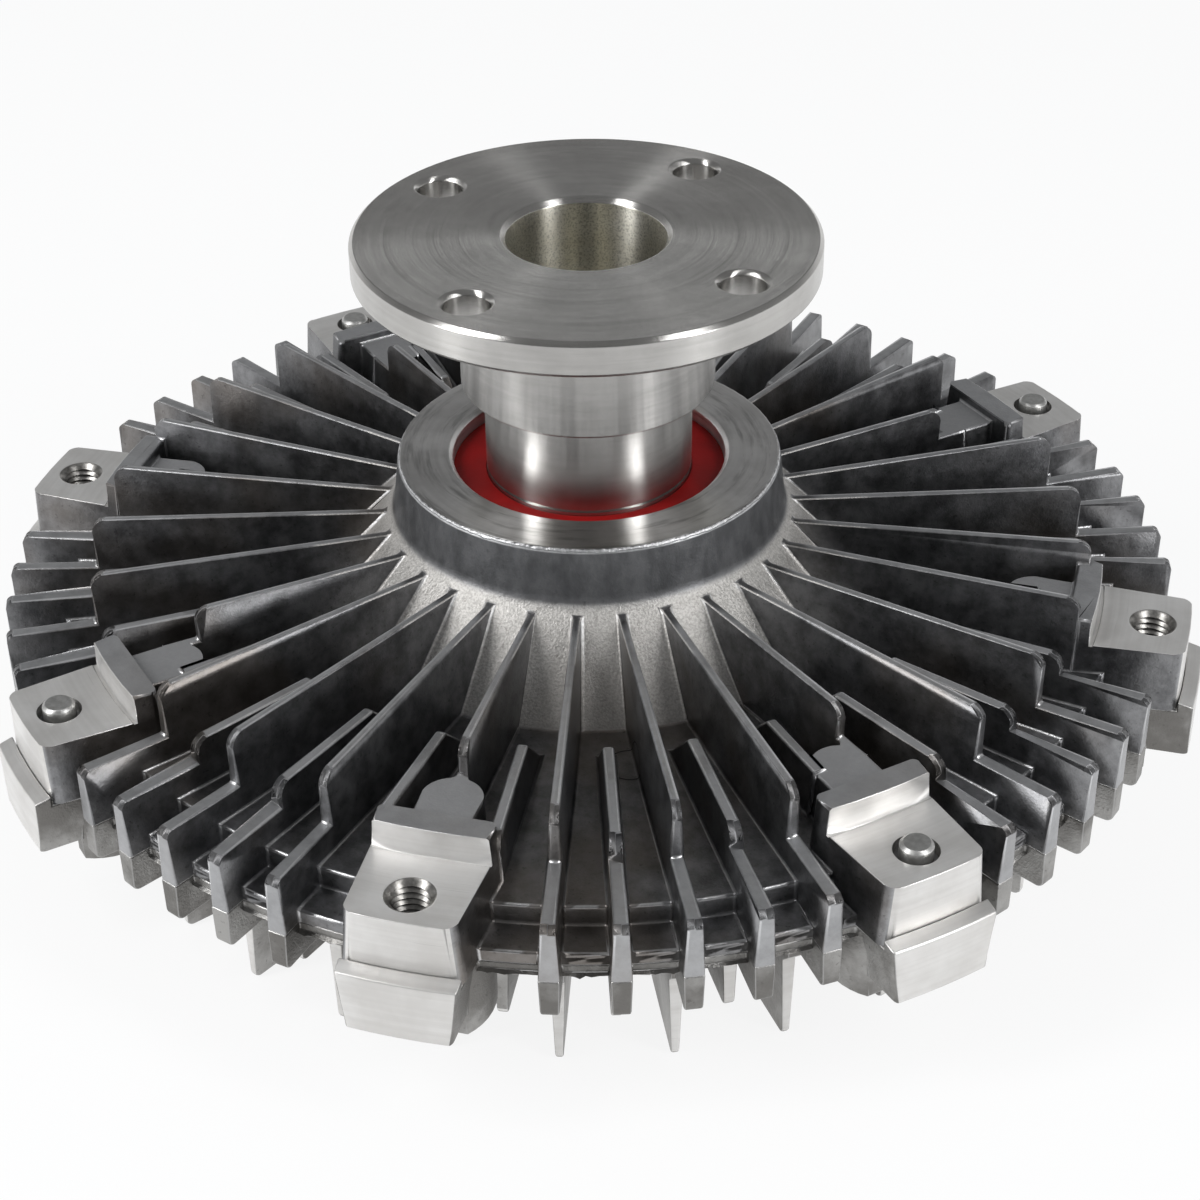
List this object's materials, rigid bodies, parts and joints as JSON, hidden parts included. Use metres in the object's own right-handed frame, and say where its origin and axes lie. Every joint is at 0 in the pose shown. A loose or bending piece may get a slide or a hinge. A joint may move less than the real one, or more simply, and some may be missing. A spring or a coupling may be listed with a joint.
{
  "type": "viscous fan clutch",
  "caption": "Flange-driven viscous fan clutch with a finned cast aluminium housing, bolt-on front cover and bimetal-controlled valve.",
  "frame": {"origin": "on the axis of rotation, in the plane of the front cover's fin ends that the part stands on", "axes": "+Z along the axis of rotation, from the front cover to the input flange; one of the four fan holes is on -Y"},
  "size_m": [0.242, 0.242, 0.114],
  "materials": {
    "cast_aluminium": "as cast, satin grey, with turned faces left bright",
    "machined_aluminium": "turned and milled, bright",
    "plug_aluminium": "pressed, plain",
    "turned_steel": "turned, bright, with fine concentric marks",
    "spring_steel": "hardened and oiled",
    "zinc_steel": "zinc plated",
    "bearing_steel": "ground and polished",
    "cage_plastic": "moulded glass-filled polyamide",
    "seal_rubber": "moulded red rubber, satin",
    "black_rubber": "moulded black rubber",
    "bimetal": "rolled strip, bare"
  },
  "bodies": {
    "housing": {"rear_housing": "cast_aluminium", "front_cover": "cast_aluminium", "shaft_seal": "seal_rubber", "seal_spring": "spring_steel", "cover_screws": "zinc_steel", "cover_screw_washers": "zinc_steel", "cover_seal_ring": "black_rubber", "fill_plug": "plug_aluminium", "bearing_outer_ring": "bearing_steel", "bearing_shields": "bearing_steel", "bearing_retaining_ring": "spring_steel", "separator_plate": "machined_aluminium", "plate_screws": "zinc_steel", "bimetal_coil": "bimetal"},
    "input": {"input_shaft": "turned_steel", "rotor": "machined_aluminium", "bearing_inner_ring": "bearing_steel"},
    "bearing_train": {"bearing_cage": "cage_plastic", "bearing_balls": "bearing_steel"},
    "valve": {"valve_spindle": "turned_steel", "valve_arm": "spring_steel", "spindle_seal_ring": "black_rubber", "spindle_clip": "spring_steel"}
  },
  "joints": [
    {"name": "input_turn", "type": "hinge", "parent": "housing", "child": "input", "pos_m": [0, 0, 0.0493], "axis": [0, 0, 1], "continuous": true},
    {"name": "bearing_train_turn", "type": "hinge", "parent": "housing", "child": "bearing_train", "pos_m": [0, 0, 0.0493], "axis": [0, 0, 1], "continuous": true},
    {"name": "valve_turn", "type": "hinge", "parent": "housing", "child": "valve", "pos_m": [0, 0, 0.0158], "axis": [0, 0, 1], "range_deg": [0, 28], "stiffness_Nm_per_rad": 0.02, "deforming": ["bimetal_coil"]}
  ],
  "couplings": [
    {"joint": "bearing_train_turn", "follows": "input_turn", "ratio": 0.4186}
  ]
}
